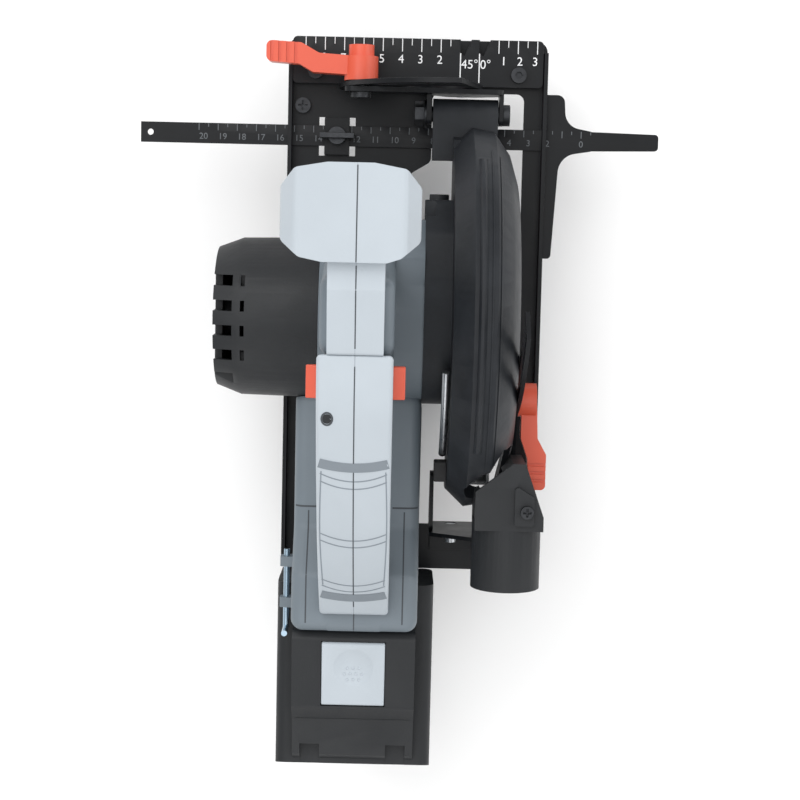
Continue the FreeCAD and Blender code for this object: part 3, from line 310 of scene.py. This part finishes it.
def draped_ribbon(name, tree, path, width, lift, body, material):
    """A thin raised line that follows a surface under a path of (x, y) points, in millimetres."""
    mesh = bpy.data.meshes.new(name)
    work = bmesh.new()
    rows = []
    for i, (x, y) in enumerate(path):
        px, py = path[max(i - 1, 0)]
        nx, ny = path[min(i + 1, len(path) - 1)]
        length = math.hypot(nx - px, ny - py) or 1.0
        sx = -(ny - py) / length * width / 2
        sy = (nx - px) / length * width / 2
        left = top_point(tree, (x + sx) * MM, (y + sy) * MM, lift * MM)
        right = top_point(tree, (x - sx) * MM, (y - sy) * MM, lift * MM)
        if left is None or right is None:
            rows.append(None)
            continue
        down = Vector((0, 0, -1.6 * lift * MM))
        rows.append([work.verts.new(p) for p in (left, right, right + down, left + down)])
    for a, b in zip(rows, rows[1:]):
        if a is None or b is None or (a[0].co - b[0].co).length > 6 * MM:
            continue
        for k in range(4):
            work.faces.new((a[k], a[(k + 1) % 4], b[(k + 1) % 4], b[k]))
    for a, b in zip([None] + rows, rows + [None]):
        end = b if a is None else a if b is None else None
        if end is not None and end[0].link_faces:
            work.faces.new(end)
    loose = [v for v in work.verts if not v.link_faces]
    bmesh.ops.delete(work, geom=loose, context="VERTS")
    bmesh.ops.recalc_face_normals(work, faces=work.faces)
    work.to_mesh(mesh)
    work.free()
    return add_object(name, mesh, body, material)


def line(x0, y0, x1, y1, steps=24):
    return [(x0 + (x1 - x0) * k / steps, y0 + (y1 - y0) * k / steps) for k in range(steps + 1)]


def cross_arc(y, bow, half, steps=28):
    """Line across the grip at y, bowed towards the front in its middle."""
    return [(half * (2.0 * k / steps - 1.0), y + bow * (1.0 - (2.0 * k / steps - 1.0) ** 2))
            for k in range(steps + 1)]


def oval(centre, rx, ry, steps):
    turns = [2 * math.pi * k / steps for k in range(steps + 1)]
    return [(centre[0] + rx * math.cos(a), centre[1] + ry * math.sin(a)) for a in turns]


def blocks(name, boxes, body, material, edge=0.0):
    """One piece of many small blocks, each given by its two corners in millimetres."""
    mesh = bpy.data.meshes.new(name)
    work = bmesh.new()
    for low, high in boxes:
        made = bmesh.ops.create_cube(work, size=1.0)["verts"]
        for v in made:
            v.co = Vector([(low[i] + (high[i] - low[i]) * (v.co[i] + 0.5)) * MM for i in range(3)])
    if edge:
        bmesh.ops.bevel(work, geom=list(work.edges), offset=edge * MM, segments=2, affect="EDGES")
    work.to_mesh(mesh)
    work.free()
    return add_object(name, mesh, body, material)


def label(name, text, x, y, z, size, body, material, turn=0.0):
    """Raised printed figure lying on a level surface, read from the front or from the rear."""
    curve = bpy.data.curves.new(name, "FONT")
    curve.body = text
    curve.size = size * MM
    curve.align_x = "CENTER"
    curve.align_y = "CENTER"
    curve.extrude = 0.00006
    curve.materials.append(material)
    piece = bpy.data.objects.new(name, curve)
    piece.location = (x * MM, y * MM, z * MM)
    piece.rotation_euler = (0, 0, turn)
    bpy.context.collection.objects.link(piece)
    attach(piece, body)
    return piece


# Listed CAD nodes keep their shape and get broken edges, the others only get their material; the width is in
# millimetres
EDGE_WIDTH = {
    "shoe_plate": 0.25, "scale_plate": 0.2, "scale_plate_screws": 0.15, "bevel_quadrant": 0.2,
    "rear_bevel_bracket": 0.25, "bevel_pivot_pins": 0.2, "fence_lock_screw": 0.3, "rip_fence": 0.2,
    "pivot_bracket": 0.25, "depth_quadrant": 0.25, "bevel_clamp_bolt": 0.2, "depth_pivot_bolt": 0.3,
    "bevel_lock_lever": 0.5, "depth_lock_bolt": 0.2, "depth_lock_lever": 0.5, "upper_guard": 0.7,
    "gear_housing": 0.7, "gear_housing_screws": 0.15, "lower_guard": 0.25, "guard_bumper": 0.6,
    "guard_spring": 0.05, "dust_port": 0.4, "left_housing": 0.35, "right_housing": 0.35, "case_screws": 0.15,
    "rear_grip_left": 0.3, "rear_grip_right": 0.3, "front_grip_left": 0.8, "front_grip_right": 0.8,
    "motor_cover": 0.5, "trigger": 0.4, "lockoff_button": 0.5, "spindle_lock_button": 0.4,
    "hex_key": 0.05, "battery_case_lower": 0.5, "battery_case_upper": 0.5, "battery_button": 0.6,
    "inner_flange": 0.2, "outer_flange": 0.3, "blade_bolt": 0.3, "saw_blade": 0.08,
}
grip_tree = surface_tree("rear_grip_left", "rear_grip_right")
front_tree = surface_tree("front_grip_left", "front_grip_right")
body_tree = surface_tree("left_housing", "right_housing")
button_tree = surface_tree("battery_button")
battery_tree = surface_tree("battery_case_upper")
guard_tree = surface_tree("upper_guard")

for node, item in frame["nodes"].items():
    if node in EDGE_WIDTH:
        rounded_copy(node, EDGE_WIDTH[node] * MM, KEY_FINISH if node == "hex_key" else None)
    else:
        item.data.materials.clear()
        item.data.materials.append(MATERIALS[SLOT_OF[node]])


# Return springs, shown as smoothed copies in place: joint, axis, fixed end and travel in millimetres
SPRINGS = {
    "trigger_spring": ("trigger_pull", 2, 150.8, 6.0),
    "lockoff_spring": ("lockoff_press", 2, 137.8, 3.5),
    "spindle_lock_spring": ("spindle_lock_press", 1, 48.2, 4.0),
    "battery_latch_spring": ("battery_latch_press", 2, 55.1, 3.0),
}


def springs():
    for node, (joint, axis, end, travel) in SPRINGS.items():
        low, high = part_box(node)
        slot = SLOT_OF[node]
        mesh = frame["nodes"][node].data.copy()
        coil = add_object(node + "_coil", mesh, BODY_OF[node], MATERIALS[slot])
        smooth_by_angle(coil.data, 40)
        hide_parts(node)
        anchor = [(low[i] + high[i]) / 2 for i in range(3)]
        anchor[axis] = end * MM
        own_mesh(coil)


# Rear grip: parting line and screw recess drawn as painted shade, moulded bands and the double lines of its
# pad
def dress_rear_grip():
    draped_ribbon("grip_seam", grip_tree, line(0, -14, 0, -139, 60), SEAM_WIDTH, 0.08, "saw_head", PAINTED_SHADE)
    for name, y in GRIP_BANDS.items():
        draped_ribbon("grip_band_" + name, grip_tree, cross_arc(y, -2.2, 15.6), 4.4, 0.22, "saw_head", BAND)
    for k, y in enumerate(GRIP_LINES):
        for j, offset in enumerate((-1.9, 1.9)):
            draped_ribbon("grip_line_%d_%d" % (k, j), grip_tree, cross_arc(y + offset, -4.0, 15.2),
                          LINE_WIDTH, LINE_LIFT, "saw_head", PALE_GROOVE)
    for side in (-1, 1):
        path = [(side * (14.6 + 0.9 * math.sin(math.pi * k / 24.0)), -63.0 - 62.0 * k / 24.0)
                for k in range(25)]
        draped_ribbon("grip_edge_%s" % ("left" if side < 0 else "right"), grip_tree, path, LINE_WIDTH,
                      LINE_LIFT, "saw_head", PALE_GROOVE)
    ring = oval(GRIP_SCREW, 2.4, 2.9, 24)
    # Dark ring of painted shade in the screw recess
    draped_ribbon("grip_screw_recess", grip_tree, ring, 0.9, 0.1, "saw_head", PAINTED_SHADE)
    core = oval(GRIP_SCREW, 1.0, 1.2, 16)
    draped_ribbon("grip_screw", grip_tree, core, 2.2, 0.04, "saw_head", MATERIALS["black_plastic"])


def dress_front_grip():
    # Parting line drawn as a dark ribbon of painted shade
    draped_ribbon("front_grip_seam", front_tree, line(0, 73.5, 0, -6, 50), SEAM_WIDTH, 0.08,
                  "saw_head", PAINTED_SHADE)


def dress_body():
    # Step, panel edges and seam of the foot drawn as dark ribbons of painted shade
    for side in (-1, 1):
        name = "left" if side < 0 else "right"
        step = line(side * 18, FOOT_STEP_Y, side * 30.6, FOOT_STEP_Y, 14)
        draped_ribbon("foot_step_" + name, body_tree, step, 0.9, 0.08, "saw_head", PAINTED_SHADE)
        draped_ribbon("foot_panel_" + name, body_tree, line(side * 24, FOOT_STEP_Y - 2, side * 24, -150, 30),
                      0.7, LINE_LIFT, "saw_head", PAINTED_SHADE)
    draped_ribbon("foot_seam", body_tree, line(0, -143, 0, -154.5, 10), SEAM_WIDTH, 0.08, "saw_head", PAINTED_SHADE)


def dress_guard():
    """Two fine ribs along the crown of the guard."""
    for k, x in enumerate((62.5, 66.5)):
        path = [(x, -84.0 + 168.0 * i / 60.0) for i in range(61)]
        draped_ribbon("guard_rib_%d" % k, guard_tree, path, 0.8, 0.35, "saw_head", MATERIALS["cast_guard"])


def dress_battery():
    mesh = bpy.data.meshes.new("button_dots")
    work = bmesh.new()
    for row, count in enumerate((3, 4, 3)):
        for k in range(count):
            x = (k - (count - 1) / 2.0) * 3.0
            y = -175.5 - 3.0 * row
            centre = top_point(button_tree, x * MM, y * MM, 0.0)
            made = bmesh.ops.create_uvsphere(work, u_segments=16, v_segments=10, radius=0.75 * MM)["verts"]
            for v in made:
                v.co = centre + Vector((v.co.x, v.co.y, v.co.z * 0.55))
    work.to_mesh(mesh)
    work.free()
    smooth_by_angle(mesh, 60)
    add_object("button_dots", mesh, "battery_latch", MATERIALS["light_grey_plastic"])
    draped_ribbon("battery_ledge", battery_tree, line(-29, -204.5, 29, -204.5, 30), 0.8, 0.1, "battery",
                  MATERIALS["black_plastic"])


# Scales: centimetre and half-centimetre lines with their figures
def dress_scale_plate():
    lines = []
    for k in range(-9, 4):
        x = ZERO_X + 10.0 * k
        if -36 < x < 89 and k not in (0, -1):
            lines.append(((x - 0.22, 136.2, PLATE_TOP - 0.3), (x + 0.22, 142.8, PLATE_TOP + 0.03)))
        half = x + 5.0
        if half < 89 and k not in (0, -1):
            lines.append(((half - 0.18, 139.4, PLATE_TOP - 0.3), (half + 0.18, 142.8, PLATE_TOP + 0.03)))
    for x in (ZERO_X, NOTCH_LEFT_X):
        lines.append(((x - 0.28, 121.0, PLATE_TOP - 0.1), (x + 0.28, 136.0, PLATE_TOP + 0.03)))
    blocks("scale_lines", lines, "shoe", PRINT)
    for k in range(2, 9):
        label("scale_left_%d" % k, str(k), ZERO_X - 10.0 * k - 0.6, FIGURE_Y, PLATE_TOP, 6.2, "shoe", PRINT)
    for k, x in ((1, 70.3), (2, 78.7), (3, 86.6)):
        label("scale_right_%d" % k, str(k), x, FIGURE_Y, PLATE_TOP, 6.2, "shoe", PRINT)
    label("scale_zero", "0°", ZERO_X + 3.2, ANGLE_Y, PLATE_TOP, 6.4, "shoe", PRINT)
    label("scale_forty_five", "45°", ZERO_X - 5.0, ANGLE_Y, PLATE_TOP, 6.4, "shoe", PRINT)


def dress_fence_bar():
    bar_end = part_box("rip_fence")[1][0]
    lines = []
    for k in range(21):
        x = BAR_ZERO_X - 10.0 * k
        lines.append(((x - 0.22, 93.8, BAR_TOP - 0.3), (x + 0.22, 97.3, BAR_TOP + 0.04)))
        lines.append(((x + 4.8, 95.6, BAR_TOP - 0.3), (x + 5.2, 97.3, BAR_TOP + 0.04)))
        if not 99 < x < 103:
            label("bar_figure_%d" % k, str(k), x + (0 if k == 0 else 2.4), 90.6, BAR_TOP, 4.6, "fence",
                  FENCE_PRINT)
    blocks("bar_lines", [b for b in lines if b[1][0] * MM < bar_end], "fence", FENCE_PRINT)


springs()
dress_rear_grip()
dress_front_grip()
dress_body()
dress_guard()
dress_battery()
dress_scale_plate()
dress_fence_bar()


# Stage: pale floor under the raised sole, soft studio light and the camera
def stage():
    floor_mesh = bpy.data.meshes.new("floor")
    floor_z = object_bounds()[0][2] - FLOOR_DROP
    signs = [(-1, -1), (1, -1), (1, 1), (-1, 1)]
    corners = [(FLOOR_HALF * x, FLOOR_HALF * y, floor_z) for x, y in signs]
    floor_mesh.from_pydata(corners, [], [(0, 1, 2, 3)])
    floor = bpy.data.objects.new("floor", floor_mesh)
    bpy.context.collection.objects.link(floor)
    material, tree, shader, place = node_setup("floor_white")
    shader.inputs["Base Color"].default_value = (0.93, 0.93, 0.93, 1)
    tree.links.new(remap(tree, noise(tree, place, 3.0), 0.3, 0.7, 0.85, 0.95), shader.inputs["Roughness"])
    floor_mesh.materials.append(material)
    floor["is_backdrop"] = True


def area_light(name, place, target, size, power):
    lamp = bpy.data.lights.new(name, "AREA")
    lamp.shape = "RECTANGLE"
    lamp.size = size
    lamp.size_y = size
    lamp.energy = power
    holder = bpy.data.objects.new(name, lamp)
    holder.location = place
    holder.rotation_euler = (Vector(target) - Vector(place)).to_track_quat("-Z", "Y").to_euler()
    bpy.context.collection.objects.link(holder)


def lights():
    area_light("key", (-0.55, 0.75, 1.15), (0, 0, 0.05), 1.1, 13)
    area_light("side", (1.15, 0.1, 0.75), (0, 0, 0.05), 1.0, 6)
    area_light("rear", (-0.2, -1.2, 0.8), (0, -0.1, 0.05), 1.0, 5)
    area_light("top", (0.05, -0.1, 1.5), (0, 0, 0), 1.2, 5)
    world = bpy.data.worlds.new("studio")
    world.use_nodes = True
    world.node_tree.nodes["Background"].inputs["Color"].default_value = (1.0, 1.0, 1.0, 1)
    world.node_tree.nodes["Background"].inputs["Strength"].default_value = WORLD_STRENGTH
    bpy.context.scene.world = world
    bpy.context.scene.view_settings.view_transform = "Standard"


def camera():
    target = Vector(LOOK_AT)
    place = Vector(CAMERA_AT)
    forward = (target - place).normalized()
    right = forward.cross(Vector((0, 1, 0))).normalized()
    up = right.cross(forward)
    roll = Matrix.Rotation(math.radians(CAMERA_ROLL_DEG), 3, forward)
    right = roll @ right
    up = roll @ up
    data = bpy.data.cameras.new("camera")
    data.lens = LENS
    data.sensor_width = 36.0
    data.shift_x = 0.00625
    data.clip_start = 0.05
    view = bpy.data.objects.new("camera", data)
    view.matrix_world = Matrix.Translation(place) @ Matrix((right, up, -forward)).transposed().to_4x4()
    bpy.context.collection.objects.link(view)
    bpy.context.scene.camera = view


stage()
lights()
camera()

bpy.context.view_layer.update()
